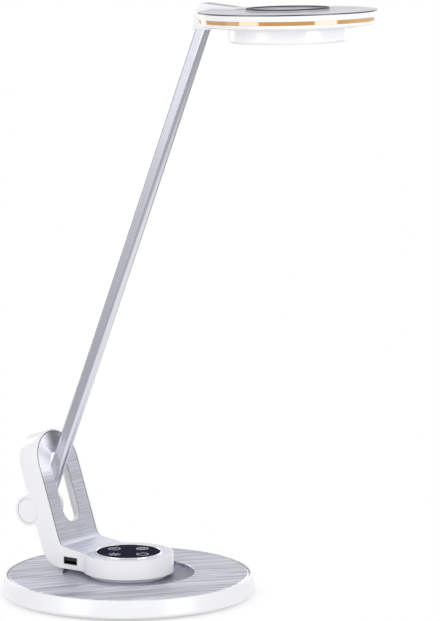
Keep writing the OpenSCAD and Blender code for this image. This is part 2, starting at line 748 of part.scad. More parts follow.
module arm_tube() color(silver) at_arm() translate([arm_set, 0, 0]) difference() {
    intersection() {
        translate([0, 0, arm_start]) linear_extrude(arm_len) oval(arm_w, arm_t);
        union() {
            translate([-arm_w, -arm_t, 0]) cube([2 * arm_w, 2 * arm_t, arm_len]);
            translate([0, 0, arm_len]) rod_y(arm_w / 2, -arm_t, arm_t);
        }
    }
    translate([0, 0, arm_start - over]) linear_extrude(arm_len + arm_w) oval(tube_in_w, tube_in_t);
    translate([0, 0, arm_len]) rod_y(pin_r + seat, -arm_t, arm_t);
    for (z = [arm_start + plug_len / 2, arm_len - plug_len / 2]) translate([0, 0, z])
        rod_y(set_screw_r + fit, 0, arm_t);
}

module arm_top_plug() color(dark) at_arm() translate([arm_set, 0, arm_len]) difference() {
    intersection() {
        translate([0, 0, -plug_len]) linear_extrude(plug_len + arm_w) oval(plug_w, plug_t);
        union() {
            translate([-arm_w, -arm_t, -plug_len - over]) cube([2 * arm_w, 2 * arm_t, plug_len + over]);
            rod_y(plug_end_r, -arm_t, arm_t);
        }
    }
    rod_y(pin_r + fit, -arm_t, arm_t);
    translate([0, 0, -plug_len / 2]) rod_y(set_screw_r + fit, set_screw_from, arm_t);
}

module arm_wire() color(dark) at_arm() translate([arm_set, 0, arm_start + plug_len])
    cylinder(r = wire_r, h = arm_len - arm_start - 2 * plug_len);

module arm_set_screws() color(steel) at_arm() translate([arm_set, 0, 0])
    for (z = [arm_start + plug_len / 2, arm_len - plug_len / 2]) translate([0, 0, z])
        rod_y(set_screw_r, set_screw_from + seat, arm_t / 2 - seat);

// Direction of the neck's slanting top, and the direction down into it
top_line = unit(neck_low - neck_back);
top_normal = [top_line.y, -top_line.x];

// Strip along the neck's top, as deep as depth and as high above it as proud
function inlay_outline(depth, proud) =
    let (a = neck_back + top_line * inlay_edge, b = neck_low - top_line * 2 * inlay_edge)
    [a + top_normal * depth, b + top_normal * depth, b - top_normal * proud, a - top_normal * proud];

module neck_shell() color(white) at_neck() difference() {
    side_prism(concat([[neck_front, neck_floor], [neck_front, neck_drop], [neck_tip, neck_drop]],
        [neck_low, neck_back], neck_spine), neck_half);
    rod_y(neck_clear, -cheek_in, cheek_in);
    translate([-fork_cut, -cheek_in, -fork_cut]) cube([fork_cut + neck_clear, 2 * cheek_in, fork_cut]);
    translate([-fork_cut, -cheek_in, -fork_cut]) cube([fork_cut, 2 * cheek_in, fork_cut + neck_clear]);
    side_prism(inlay_outline(inlay_t, over), inlay_half + seat);
    rod_y(pin_r + fit, -neck_half + pin_cover, neck_half - pin_cover);
    for (x = neck_screw_xs) translate([x, 0, 0]) cylinder(r = neck_screw_r + fit,
        h = neck_drop + neck_screw_bite + seat);
}

module neck_inlay() color(silver) at_neck() side_prism(inlay_outline(inlay_t, 0), inlay_half);

module neck_pin() color(steel) at_neck() rod_y(pin_r, -neck_half + pin_cover + seat,
    neck_half - pin_cover - seat);

module neck_washers() color(brass) at_neck() for (side = [0, 180]) rotate(side) difference() {
    rod_y(arm_w / 2 - over, arm_t / 2, cheek_in);
    rod_y(pin_r + seat, 0, neck_half);
}

module neck_screws() color(steel) at_neck() for (x = neck_screw_xs)
    translate([x, 0, neck_drop - head_plate_t]) screw(neck_screw_r, head_plate_t + neck_screw_bite,
        neck_screw_head_r, screw_head_h);

// Radius of the rim's outer face at height z in the head's frame
function rim_at(z) = head_r + rim_lean * (z + plate_stand) / rim_h;

// Points of the band's groove or of the band, open to the outside, with radius more and seam more at its ends
function band_points(grow, out) =
    let (band_z = -plate_stand - band_drop, top = band_z + grow, low = band_z - band_h - grow)
    [[rim_at(top) + out, top], [rim_at(top) - band_t - grow, top], [rim_at(low) - band_t - grow, low],
        [rim_at(low) + out, low]];

module head_shell() color(white) at_head() rotate_extrude() polygon(concat(
    [[head_plate_r + seat, -head_plate_t], [head_plate_r + seat, -plate_stand]],
    fillet([head_plate_r, -plate_stand], [head_r, -plate_stand], [rim_at(rim_low), rim_low], rim_lip / 2),
    band_points(seat, 0),
    fillet([head_r, -plate_stand], [rim_at(rim_low), rim_low], [drum_r, floor_z], 1),
    [[drum_r + floor_rim, floor_z], [port_r, floor_z], [port_r, floor_z + floor_t],
        [drum_r + floor_rim, floor_z + floor_t], [rim_in_r, rim_low + floor_t], [rim_in_r, -head_plate_t]]));

module amber_band() color(amber) at_head() rotate_extrude() polygon(band_points(0, band_proud));

module head_plate() color(silver) at_head() translate([0, 0, -head_plate_t]) difference() {
    flat_ring(head_plate_r, ring_r + seat, head_plate_t);
    for (x = neck_screw_xs) translate([x - head_reach, 0, -over]) cylinder(r = neck_screw_r + fit,
        h = head_plate_t + 2 * over);
}

module centre_ring() color(chrome) at_head() rotate_extrude() polygon(concat(
    [[ring_in_r - ring_ledge, -head_plate_t - ring_flange_t],
        [ring_r + ring_flange, -head_plate_t - ring_flange_t],
        [ring_r + ring_flange, -head_plate_t], [ring_r, -head_plate_t]],
    fillet([ring_r, 0], [ring_r, ring_rise], [ring_in_r, ring_rise], 0.3 * ring_w),
    fillet([ring_r, ring_rise], [ring_in_r, ring_rise], [ring_in_r, 0], 0.3 * ring_w),
    [[ring_in_r, -head_plate_t], [ring_in_r - ring_ledge, -head_plate_t]]));

module centre_disc() color(silver) at_head() translate([0, 0, -head_plate_t]) cylinder(r = ring_in_r - seat,
    h = head_plate_t + disc_rise);

module heat_spreader() color(silver) at_head() translate([0, 0, floor_z + floor_t]) difference() {
    cylinder(r = spreader_r, h = spreader_t);
    ring_of(3, led_screw_at) translate([0, 0, -over]) cylinder(r = led_screw_r + fit,
        h = spreader_t + 2 * over);
}

module led_board() color("white") at_head() translate([0, 0, floor_z]) cylinder(r = led_board_r, h = floor_t);

// One circle of LEDs, set in from the edge of their board
module led_circle(count, inset) ring_of(count, led_board_r - inset) translate([-led_size / 2, -led_size / 2, 0])
    cube([led_size, led_size, led_h]);

module led_chips() color(led_yellow) at_head() translate([0, 0, floor_z - led_h]) {
    led_circle(led_count, led_rows[0]);
    led_circle(floor(led_count / 2), led_rows[1]);
}

module led_screws() color(steel) at_head() ring_of(3, led_screw_at)
    translate([0, 0, floor_z + floor_t + spreader_t]) mirror([0, 0, 1]) screw(led_screw_r, spreader_t,
        led_screw_head_r, led_screw_head_h);

module diffuser() color("white") at_head() translate([0, 0, floor_z]) mirror([0, 0, 1]) rotate_extrude()
    polygon(concat(
        [[drum_r - drum_wall, 0], [drum_r, 0]],
        fillet([drum_r, 0], [drum_r, drum_h], [0, drum_h], drum_round),
        [[0, drum_h], [0, drum_h - drum_wall], [drum_r - drum_wall, drum_h - drum_wall]]));

base_shell();
base_top_plate();
sunk_disc();
glide_ring();
swivel_bush();
ballast_plate();
ballast_screws();
bottom_cover();
cover_screws();
rubber_pad();
power_inlet();
power_inlet_pin();
bracket_shell();
bracket_panel();
foot_plate();
foot_screws();
swivel_stud();
spring_washer();
swivel_nut();
touch_glass();
touch_trim_ring();
touch_marks();
touch_board();
control_board();
usb_shell();
usb_tongue();
hinge_bolt();
hinge_nut();
hinge_washers();
hinge_cap_near();
hinge_cap_far();
arm_knuckle();
arm_tube();
arm_top_plug();
arm_wire();
arm_set_screws();
neck_shell();
neck_inlay();
neck_pin();
neck_washers();
neck_screws();
head_shell();
amber_band();
head_plate();
centre_ring();
centre_disc();
heat_spreader();
led_board();
led_chips();
led_screws();
diffuser();
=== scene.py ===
import json
from math import cos, hypot, pi, radians, sin, sqrt

import bmesh
import bpy
from mathutils import Matrix, Vector


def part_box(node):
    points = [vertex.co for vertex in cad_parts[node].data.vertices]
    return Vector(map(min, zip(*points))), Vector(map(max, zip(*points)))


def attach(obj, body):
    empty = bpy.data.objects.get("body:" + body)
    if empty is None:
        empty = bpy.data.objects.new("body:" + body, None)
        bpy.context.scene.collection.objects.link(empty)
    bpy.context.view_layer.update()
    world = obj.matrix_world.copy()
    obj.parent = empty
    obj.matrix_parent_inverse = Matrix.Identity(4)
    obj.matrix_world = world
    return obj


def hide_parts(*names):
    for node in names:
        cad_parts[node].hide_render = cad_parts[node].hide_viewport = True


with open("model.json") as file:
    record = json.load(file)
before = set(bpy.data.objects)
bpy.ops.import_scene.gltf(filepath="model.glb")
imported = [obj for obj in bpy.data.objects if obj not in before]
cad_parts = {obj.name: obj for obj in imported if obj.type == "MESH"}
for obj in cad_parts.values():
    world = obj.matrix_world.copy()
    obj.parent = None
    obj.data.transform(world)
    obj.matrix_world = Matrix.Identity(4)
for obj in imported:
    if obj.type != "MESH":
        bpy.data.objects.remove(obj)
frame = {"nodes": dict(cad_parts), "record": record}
for spare in ("Cube", "Light", "Camera"):
    if spare in bpy.data.objects:
        bpy.data.objects.remove(bpy.data.objects[spare])
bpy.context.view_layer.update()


# Base shell: a white ABS moulding, a flat round dish turned upside down with a flared, rounded rim.
# It is moulded in one shot with the screw bosses inside, and its gloss has a very faint orange peel.
class Wire:
    """One socket in a finish or a form. Sums written with wires add their Math nodes to its tree."""

    def __init__(self, tree, socket=None):
        self.tree = tree
        self.socket = socket

    def node(self, kind, settings, sockets, out=0):
        made = self.tree.nodes.new(kind)
        for name, value in settings.items():
            setattr(made, name, value)
        self.join(made, sockets)
        return Wire(self.tree, made.outputs[out])

    def join(self, made, sockets):
        for name, value in sockets.items():
            if isinstance(value, (Wire, list)):
                for wire in value if isinstance(value, list) else [value]:
                    self.tree.links.new(wire.socket, made.inputs[name])
            else:
                made.inputs[name].default_value = value

    def math(self, operation, first, second=0.0):
        return self.node("ShaderNodeMath", {"operation": operation}, {0: first, 1: second})

    def __add__(self, other):
        return self.math("ADD", self, other)

    def __sub__(self, other):
        return self.math("SUBTRACT", self, other)

    def __rsub__(self, other):
        return self.math("SUBTRACT", other, self)

    def __mul__(self, other):
        return self.math("MULTIPLY", self, other)

    __radd__ = __add__
    __rmul__ = __mul__

    def between(self, low, high):
        """0 below low, 1 above high, and a smooth rise from one to the other."""
        return self.node("ShaderNodeMapRange", {"interpolation_type": "SMOOTHSTEP"},
                         {"Value": self, "From Min": low, "From Max": high})

    def blend(self, first, second):
        """The first colour where this is 0 and the second where it is 1."""
        return self.node("ShaderNodeMix", {"data_type": "RGBA"},
                         {0: self, 6: as_colour(first), 7: as_colour(second)}, 2)


def as_colour(value):
    return value if isinstance(value, Wire) else (*value, 1)


def finish(name, colour, roughness, metallic=0.0, **sockets):
    """A new material with these plain values, and the wire that more nodes start from."""
    material = bpy.data.materials.new(name)
    material.use_nodes = True
    start = Wire(material.node_tree)
    feed(start, {"Base Color": colour, "Roughness": roughness, "Metallic": metallic})
    feed(start, {socket.replace("_", " "): value for socket, value in sockets.items()})
    return material, start


def feed(start, sockets):
    """Sets or links sockets of the finish's shader."""
    skin = start.tree.nodes["Principled BSDF"]
    start.join(skin, {name: as_colour(value) if isinstance(value, tuple) else value
                      for name, value in sockets.items()})


def place_of(start):
    return start.node("ShaderNodeTexCoord", {}, {}, "Object")


def cloud(start, size, detail=2.0):
    """Soft blotches of about this size, from 0 to 1."""
    return start.node("ShaderNodeTexNoise", {},
                      {"Vector": place_of(start), "Scale": 1 / size, "Detail": detail})


def bumps(start, height, strength, deep):
    """The normal of a surface with this height in it."""
    return start.node("ShaderNodeBump", {}, {"Height": height, "Strength": strength, "Distance": deep})


def coat(mesh, material):
    mesh.materials.clear()
    mesh.materials.append(material)


def dress(material, *names):
    """Gives CAD pieces their finish."""
    for name in names:
        coat(frame["nodes"][name].data, material)


white_moulding, start = finish("white_moulding", (0.87, 0.868, 0.89), 0.3,
                               Coat_Weight=0.3, Coat_Roughness=0.12)
feed(start, {
    "Base Color": cloud(start, 0.05).blend((0.86, 0.858, 0.885), (0.88, 0.878, 0.9)),
    "Roughness": 0.26 + 0.1 * cloud(start, 0.012),
    "Normal": bumps(start, cloud(start, 0.0025), 0.04, 0.0002),
})
dress(white_moulding, "base_shell")


# Ballast and swivel bush: a sheared mild-steel disc, screwed up under the deck, keeps the lamp from tipping.
# The foot turns in a natural acetal bush in the middle of the deck and stands on an acetal glide ring.
sheared_steel, start = finish("sheared_steel", (0.3, 0.3, 0.31), 0.45, 1.0)
feed(start, {
    "Base Color": cloud(start, 0.02, 4).blend((0.24, 0.24, 0.25), (0.36, 0.36, 0.37)),
    "Roughness": 0.35 + 0.25 * cloud(start, 0.006, 4),
})
black_plastic, start = finish("black_plastic", (0.012, 0.012, 0.014), 0.42)
feed(start, {
    "Roughness": 0.36 + 0.14 * cloud(start, 0.004, 3),
    "Normal": bumps(start, cloud(start, 0.0008, 3), 0.12, 0.0001),
})
natural_acetal, start = finish("natural_acetal", (0.7, 0.71, 0.76), 0.4)
feed(start, {"Roughness": 0.34 + 0.14 * cloud(start, 0.004, 3)})
plated_steel, start = finish("plated_steel", (0.55, 0.55, 0.56), 0.25, 1.0)
feed(start, {"Roughness": 0.2 + 0.15 * cloud(start, 0.003, 3)})
dress(sheared_steel, "ballast_plate")
dress(natural_acetal, "swivel_bush", "glide_ring")
dress(plated_steel, "ballast_screws")


# Underside: a black ABS cover closes the dish, four pan-head screws hold it, and a soft rubber pad is stuck
# on it so that the lamp doesn't slide. The power inlet is moulded with its pin in the back of the rim.
def bring(name, mesh, body, slot, *nodes):
    """Puts a finished mesh in the scene for these CAD pieces."""
    piece = bpy.data.objects.new(name, mesh)
    bpy.context.scene.collection.objects.link(piece)
    mesh.shade_smooth()
    mesh.set_sharp_from_angle(angle=radians(32))
    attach(piece, body)
    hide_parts(*nodes)
    return piece


def baked(maker, name):
    """The mesh that an object's modifier makes. The object itself is taken out again."""
    evaluated = maker.evaluated_get(bpy.context.evaluated_depsgraph_get())
    mesh = bpy.data.meshes.new_from_object(evaluated)
    bpy.data.objects.remove(maker)
    mesh.name = name
    return mesh


def formed(name, sizes, build, material):
    """The mesh that a tree of geometry nodes makes from these named sizes."""
    tree = bpy.data.node_groups.new(name, "GeometryNodeTree")
    tree.interface.new_socket("Form", in_out="OUTPUT", socket_type="NodeSocketGeometry")
    keys = {}
    for label, value in sizes.items():
        kind = "NodeSocketInt" if isinstance(value, int) else "NodeSocketFloat"
        keys[label] = tree.interface.new_socket(label, in_out="INPUT", socket_type=kind).identifier
    given = tree.nodes.new("NodeGroupInput")
    start = Wire(tree)
    form = build(start, {label: Wire(tree, given.outputs[label]) for label in sizes})
    form = start.node("GeometryNodeRealizeInstances", {}, {"Geometry": form})
    form = start.node("GeometryNodeSetMaterial", {}, {"Geometry": form, "Material": material})
    start.join(tree.nodes.new("NodeGroupOutput"), {"Form": form})
    maker = bpy.data.objects.new(name + "_maker", bpy.data.meshes.new(name + "_blank"))
    bpy.context.scene.collection.objects.link(maker)
    modifier = maker.modifiers.new("form", "NODES")
    modifier.node_group = tree
    for label, value in sizes.items():
        modifier[keys[label]] = value
    return baked(maker, name)


def vector(start, x, y, z):
    return start.node("ShaderNodeCombineXYZ", {}, {"X": x, "Y": y, "Z": z})


def moved(start, form, by=(0, 0, 0), turn=(0, 0, 0), scale=(1, 1, 1)):
    return start.node("GeometryNodeTransform", {},
                      {"Geometry": form, "Translation": by, "Rotation": turn, "Scale": scale})


def rod(start, radius, length, sides=48):
    return start.node("GeometryNodeMeshCylinder", {},
                      {"Vertices": sides, "Radius": radius, "Depth": length})


def screw_ring(start, size):
    """Cross-recess screws in a circle, heads down, with each head's underside at the height of the cover."""
    recess_long, recess_wide, recess_at, turn_each = 1.15, 0.3, -0.6, 0.7
    head = rod(start, size["Head radius"], size["Head height"], 40)
    bar = [size["Head radius"] * recess_long, size["Head radius"] * recess_wide, size["Head height"]]
    cuts = []
    for first, second in ((0, 1), (1, 0)):
        block = vector(start, bar[first], bar[second], bar[2])
        block = start.node("GeometryNodeMeshCube", {}, {"Size": block})
        cuts.append(moved(start, block, vector(start, 0.0, 0.0, size["Head height"] * recess_at)))
    head = start.node("GeometryNodeMeshBoolean", {"operation": "DIFFERENCE", "solver": "EXACT"},
                      {"Mesh 1": head, "Mesh 2": cuts})
    shank = moved(start, rod(start, size["Shank radius"], size["Shank length"], 24),
                  vector(start, 0.0, 0.0, size["Shank length"] * 0.5))
    head = moved(start, head, vector(start, 0.0, 0.0, size["Head height"] * -0.5))
    screw = start.node("GeometryNodeJoinGeometry", {}, {"Geometry": [head, shank]})
    spots = start.node("GeometryNodeMeshCircle", {}, {"Vertices": size["Screws"], "Radius": size["Circle"]})
    spots = moved(start, spots, vector(start, 0.0, 0.0, size["Height"]), (0, 0, radians(45)))
    turns = vector(start, 0.0, 0.0, start.node("GeometryNodeInputIndex", {}, {}) * turn_each)
    return start.node("GeometryNodeInstanceOnPoints", {},
                      {"Points": spots, "Instance": screw, "Rotation": turns})


soft_rubber, start = finish("soft_rubber", (0.02, 0.02, 0.021), 0.8)
feed(start, {
    "Base Color": cloud(start, 0.006, 4).blend((0.016, 0.016, 0.017), (0.03, 0.03, 0.031)),
    "Normal": bumps(start, cloud(start, 0.0006, 2), 0.2, 0.0001),
})
dress(black_plastic, "bottom_cover", "power_inlet")
dress(plated_steel, "power_inlet_pin")
dress(soft_rubber, "rubber_pad")
screw_head, screw_tall = 0.003, 0.0014
low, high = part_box("cover_screws")
bring("cover_screw_set", formed("cover_screw_set", {
    "Screws": 4, "Circle": (high.x - screw_head) * sqrt(2), "Height": low.z + screw_tall,
    "Head radius": screw_head, "Head height": screw_tall,
    "Shank radius": 0.0015, "Shank length": high.z - low.z - screw_tall,
}, screw_ring, plated_steel), "base", "steel_parts", "cover_screws")


# Top plate: a spun aluminium disc, brushed straight across in one direction after it was pressed flat,
# with its edge cut bright and a thin line of painted shade just inside its rim. A spun disc is sunk in its
# middle, under the turning foot, with radial streaks and a painted reflection that is pale on one side and dark
# on the other.
def from_point(start, middle):
    """Where a place is, as seen from this point."""
    return start.node("ShaderNodeVectorMath", {"operation": "SUBTRACT"}, {0: place_of(start), 1: middle})


def along(start, place, side):
    """How far a place lies in this direction."""
    return start.node("ShaderNodeVectorMath", {"operation": "DOT_PRODUCT"}, {0: place, 1: side}, "Value")


def brushed(name, turn, tone, streak, depth=1.0, roughness=0.34, metallic=0.72, sheen=None, line=None):
    """Brushed aluminium whose grain runs along X of a frame turned by these angles, in streaks of this size.
    Sheen scales the tone over the piece with painted reflection and shade, and line is 1 where painted shade
    darkens a cut edge."""
    contrast = 0.14
    painted_edge_shade = (0.12, 0.12, 0.14)
    material, start = finish(name, tone, roughness, metallic, Specular_Tint=(0.8, 0.8, 0.82))

    def streaks(length, width, detail):
        laid = start.node("ShaderNodeMapping", {"vector_type": "TEXTURE"},
                          {"Vector": place_of(start), "Rotation": turn, "Scale": (length, width, width)})
        return start.node("ShaderNodeTexNoise", {}, {"Vector": laid, "Scale": 1.0, "Detail": detail})

    fine = streaks(streak[0], streak[1] / 6, 2)
    broad = streaks(streak[0], streak[1], 3)
    grain = (0.4 * fine + 0.6 * broad).between(0.5 - contrast, 0.5 + contrast)
    dark = tuple(c * (1 - 0.3 * depth) for c in tone)
    pale = tuple(c * (1 + 0.3 * depth) for c in tone)
    colour = grain.blend(dark, pale)
    # Sheen scales the colour with painted reflection and shade.
    if sheen:
        colour = start.node("ShaderNodeVectorMath", {"operation": "SCALE"},
                            {0: colour, "Scale": sheen(start)})
    # Line paints a thin dark shade along an edge.
    if line:
        colour = line(start).blend(colour, painted_edge_shade)
    feed(start, {
        "Base Color": colour,
        "Roughness": roughness - 0.05 + 0.12 * fine,
        "Normal": bumps(start, fine, 0.1 * depth, 0.00008),
    })
    return material


def rim_shade_line(middle, axis, radius):
    """A line that is 1 from just inside this radius about the axis through the middle, for painted shade along
    a plate's rim.
    """
    line_from, line_full = 0.0005, 0.0002

    def line(start):
        spoke = start.node("ShaderNodeVectorMath", {"operation": "CROSS_PRODUCT"},
                           {0: from_point(start, middle), 1: axis})
        reach = start.node("ShaderNodeVectorMath", {"operation": "LENGTH"}, {0: spoke}, "Value")
        return reach.between(radius - line_from, radius - line_full)

    return line


low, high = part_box("base_top_plate")
# A thin line of painted shade darkens the top plate's rim.
plate_grain = brushed("plate_grain", (0, 0, radians(52)), (0.58, 0.59, 0.65), (0.07, 0.0045), 1.1,
                      line=rim_shade_line(Vector((0, 0, 0)), Vector((0, 0, 1)), high.x))
spun_grey, start = finish("spun_grey", (0.4, 0.42, 0.5), 0.4, 0.3, Specular_Tint=(0.7, 0.7, 0.75))
spoke = start.node("ShaderNodeVectorMath", {"operation": "NORMALIZE"}, {0: place_of(start)})
side = along(start, spoke, Vector((0.8, 0.6, 0)))
streak = start.node("ShaderNodeTexNoise", {}, {"Vector": spoke, "Scale": 30.0, "Detail": 3})
# Dark towards +X +Y and pale on the other side is painted reflection; the noise along the spokes is the disc's
# spun streaks.
streaks_and_painted_reflection = (side + 2.2 * (streak - 0.5)).between(0.0, 1.0)
feed(start, {
    "Base Color": streaks_and_painted_reflection.blend((0.5, 0.515, 0.6), (0.2, 0.215, 0.28)),
    "Roughness": 0.34 + 0.12 * streak,
})
dress(plate_grain, "base_top_plate")
dress(spun_grey, "sunk_disc")


# Foot and swivel: a steel foot plate is screwed under the foot, and a hollow brass stud goes down from it
# through the bush, with a spring washer and a nut under the deck.
turned_brass, start = finish("turned_brass", (0.72, 0.52, 0.22), 0.28, 1.0)
feed(start, {"Roughness": 0.22 + 0.15 * cloud(start, 0.002, 3)})
dress(sheared_steel, "foot_plate")
dress(plated_steel, "foot_screws", "spring_washer")
dress(turned_brass, "swivel_stud", "swivel_nut")


# Bracket shell: the white L-shaped ABS moulding that is the foot and the upright. A round pad in front runs
# into the strip's sides in hollow corners, and the upright has a slot for the arm, an open back and a hinge
# boss flush with its near side. Its outer edges have a small mould round.
upright_lean = radians(18.4)
upright_foot = Vector((-0.0488, 0, 0.036))
upright_half, arch_height = 0.0255, 0.0656
upright_up = Vector((-sin(upright_lean), 0, cos(upright_lean)))


def rounded(node, material, picks, width):
    """A joined copy of the CAD piece with rounds of this width on the convex edges that are picked."""
    work = bmesh.new()
    work.from_mesh(frame["nodes"][node].data)
    bmesh.ops.remove_doubles(work, verts=work.verts, dist=1e-6)
    bmesh.ops.dissolve_limit(work, angle_limit=radians(0.3), verts=work.verts, edges=work.edges)
    weight = work.edges.layers.float.new("bevel_weight_edge")
    for edge in work.edges:
        if len(edge.link_faces) == 2 and edge.calc_face_angle_signed() > radians(30):
            edge[weight] = float(all(picks(corner.co) for corner in edge.verts))
    mesh = bpy.data.meshes.new(node + "_joined")
    work.to_mesh(mesh)
    work.free()
    coat(mesh, material)
    maker = bpy.data.objects.new(node + "_maker", mesh)
    bpy.context.scene.collection.objects.link(maker)
    bevel = maker.modifiers.new("round", "BEVEL")
    bevel.limit_method = "WEIGHT"
    bevel.width = width
    bevel.segments = 4
    return baked(maker, node + "_round")


hinges = {joint["name"]: Vector(joint["pos_m"]) for joint in frame["record"]["behaviour"]["joints"]}
socket_low, socket_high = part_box("usb_shell")
socket_room, cap_room = 0.001, 0.0111
pad_reach, corner_round = 0.0356, 0.018
corner_across = upright_half + corner_round
corner_back = sqrt((pad_reach + corner_round) ** 2 - corner_across ** 2)
panel_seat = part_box("bracket_panel")[0].z
on_outline, shell_round = 5e-5, 0.0009


def on_bracket_edge(corner):
    """True on the outline of the bracket's sides, arch and pad, away from the socket and the cap."""
    beside = hypot(corner.x - hinges["arm_tilt"].x, corner.z - hinges["arm_tilt"].z)
    in_socket = all(socket_low[i] - socket_room < corner[i] < socket_high[i] + socket_room for i in range(3))
    above = max((corner - upright_foot).dot(upright_up) - arch_height, 0)
    gaps = [hypot(corner.y, above) - upright_half]
    if corner.z > panel_seat:
        gaps.append(hypot(corner.x, corner.y) - pad_reach)
        gaps.append(hypot(corner.x + corner_back, abs(corner.y) - corner_across) - corner_round)
    return min(abs(gap) for gap in gaps) < on_outline and beside > cap_room and not in_socket


shell_mesh = rounded("bracket_shell", white_moulding, on_bracket_edge, shell_round)
bring("bracket_case", shell_mesh, "bracket", "white_plastic", "bracket_shell")


# Brushed panel: one aluminium sheet bent to the L, brushed across its width, with the slot punched through it.
# It is stuck into a seat in the shell, with a thin line of painted shade round its edge, and its round end lies
# inside the pad's white rim. Painted reflection and shade make its foot and the arch's near shoulder palest
# and the arch's top greyest.
panel_half = 0.0244


def panel_place(start):
    """The wires for how far a place is up the upright and how far across it."""
    place = from_point(start, upright_foot)
    return along(start, place, upright_up), along(start, place, Vector((0, 1, 0)))


def panel_painted_light(start):
    """Painted reflection and shade: palest on the foot and on the arch's near shoulder, a little paler towards
    +Y, and greyest at the top of the arch.
    """
    rise, across = panel_place(start)
    # A painted highlight lies on the arch's near shoulder, and painted shade at the top of the arch.
    shoulder = rise.between(0.05, 0.066) * (1 - across.between(-0.014, 0.002))
    crown = rise.between(0.07, 0.08) * across.between(-0.014, -0.002) * (1 - across.between(0.006, 0.016))
    upright = 0.86 + 0.05 * across.between(0.0, 0.02) + 1.1 * shoulder - 0.5 * crown
    return 1.4 + rise.between(-0.004, 0.004) * (upright - 1.4)


def panel_gap_shade(start):
    """1 on the panel's cut edge along the upright and round the arch, where painted shade darkens it."""
    line_from, line_full = 0.0008, 0.0005
    rise, across = panel_place(start)
    above = start.math("MAXIMUM", rise - arch_height, 0.0)
    reach = start.math("SQRT", across * across + above * above)
    return reach.between(panel_half - line_from, panel_half - line_full) * rise.between(-0.002, 0.002)


# The panel carries painted reflection and shade over its face and a painted shade line along its edge.
panel_grain = brushed("panel_grain", (0, 0, radians(90)), (0.57, 0.585, 0.65), (0.025, 0.0006), 0.55,
                      sheen=panel_painted_light, line=panel_gap_shade)
dress(panel_grain, "bracket_panel")


# Touch panel: a disc of black glass in a chromed ring, with four pale printed keys: on and off, brighter, timer
# and light colour. The keys are sensed by a board stuck under the glass.
touch_glass, start = finish("touch_glass", (0.05, 0.052, 0.065), 0.07, 1.0, Specular_Tint=(0.29, 0.29, 0.32))
feed(start, {"Roughness": 0.05 + 0.05 * cloud(start, 0.012, 3)})
chrome, start = finish("chrome", (0.78, 0.79, 0.81), 0.06, 1.0)
feed(start, {"Roughness": 0.04 + 0.05 * cloud(start, 0.004, 2)})
key_print, start = finish("key_print", (0.3, 0.31, 0.35), 0.4)
feed(start, {"Base Color": cloud(start, 0.001, 3).blend((0.5, 0.51, 0.55), (0.58, 0.59, 0.63))})
board_green, start = finish("board_green", (0.02, 0.13, 0.06), 0.35)
feed(start, {"Base Color": cloud(start, 0.002, 3).blend((0.015, 0.11, 0.05), (0.03, 0.16, 0.075))})


def key_symbols(start, size):
    """Four line symbols of one size in two pairs, each flattened to the thickness of print."""
    pen = start.node("GeometryNodeCurvePrimitiveCircle", {}, {"Resolution": 8, "Radius": size["Line"]})

    def drawn(curve):
        return start.node("GeometryNodeCurveToMesh", {},
                          {"Curve": curve, "Profile Curve": pen, "Fill Caps": True})

    def ring(share, opening=0.0):
        arc = start.node("GeometryNodeCurveArc", {}, {
            "Resolution": 40, "Radius": size["Size"] * share, "Start Angle": pi / 2 + opening / 2,
            "Sweep Angle": 2 * pi - max(opening, 0.001)})
        return drawn(arc)

    def bar(x, y, to_x, to_y):
        return drawn(start.node("GeometryNodeCurvePrimitiveLine", {}, {
            "Start": vector(start, size["Size"] * x, size["Size"] * y, 0.0),
            "End": vector(start, size["Size"] * to_x, size["Size"] * to_y, 0.0)}))

    def joined(*forms):
        return start.node("GeometryNodeJoinGeometry", {}, {"Geometry": list(forms)})

    spots = start.node("GeometryNodeMeshCircle", {}, {"Vertices": 8, "Radius": 0.0})
    beam = start.node("GeometryNodeInstanceOnPoints", {}, {
        "Points": spots, "Instance": bar(0.32, 0.0, 0.46, 0.0),
        "Rotation": vector(start, 0.0, 0.0, start.node("GeometryNodeInputIndex", {}, {}) * (pi / 4))})
    symbols = [
        joined(ring(0.42, 1.3), bar(0.0, 0.12, 0.0, 0.5)),
        joined(ring(0.2), beam),
        joined(ring(0.42), bar(0.0, 0.0, 0.0, 0.28), bar(0.0, 0.0, 0.2, 0.0)),
        joined(ring(0.42), ring(0.2)),
    ]
    number = start.node("GeometryNodeInputIndex", {}, {})
    pair = start.math("FLOOR", number * 0.5)
    angle = size["First angle"] + (number - 2 * pair) * size["Pair angle"] + pair * pi
    place = vector(start, size["Circle"] * start.math("COSINE", angle),
                   size["Circle"] * start.math("SINE", angle), size["Height"])
    row = start.node("GeometryNodeMeshLine", {}, {"Count": len(symbols)})
    row = start.node("GeometryNodeSetPosition", {}, {"Geometry": row, "Position": place})
    kinds = joined(*[start.node("GeometryNodeGeometryToInstance", {}, {"Geometry": one}) for one in symbols])
    return start.node("GeometryNodeInstanceOnPoints", {}, {
        "Points": row, "Instance": kinds, "Pick Instance": True, "Instance Index": number,
        "Rotation": (0, 0, pi / 2), "Scale": vector(start, 1.0, 1.0, size["Flatness"])})


dress(touch_glass, "touch_glass")
dress(chrome, "touch_trim_ring")
dress(board_green, "touch_board", "control_board")
bring("key_symbols", formed("key_symbols", {
    "Size": 0.0105, "Line": 0.0005, "Flatness": 0.2, "Circle": 0.015, "Height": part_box("touch_glass")[1].z,
    "First angle": radians(80), "Pair angle": radians(94),
}, key_symbols, key_print), "bracket", "mark_print", "touch_marks")


# Charging socket: a folded tin-plated shell in the side of the foot, soldered to the control board,
# with a moulded tongue that carries four gilt contacts.
def contact_row(start, size):
    """Flat strips side by side along X."""
    spots = start.node("GeometryNodeMeshLine", {}, {
        "Count": size["Contacts"], "Start Location": vector(start, size["First x"], size["Y"], size["Z"]),
        "Offset": vector(start, size["Pitch"], 0.0, 0.0)})
    strip = vector(start, size["Width"], size["Length"], size["Width"] * 0.3)
    strip = start.node("GeometryNodeMeshCube", {}, {"Size": strip})
    return start.node("GeometryNodeInstanceOnPoints", {}, {"Points": spots, "Instance": strip})


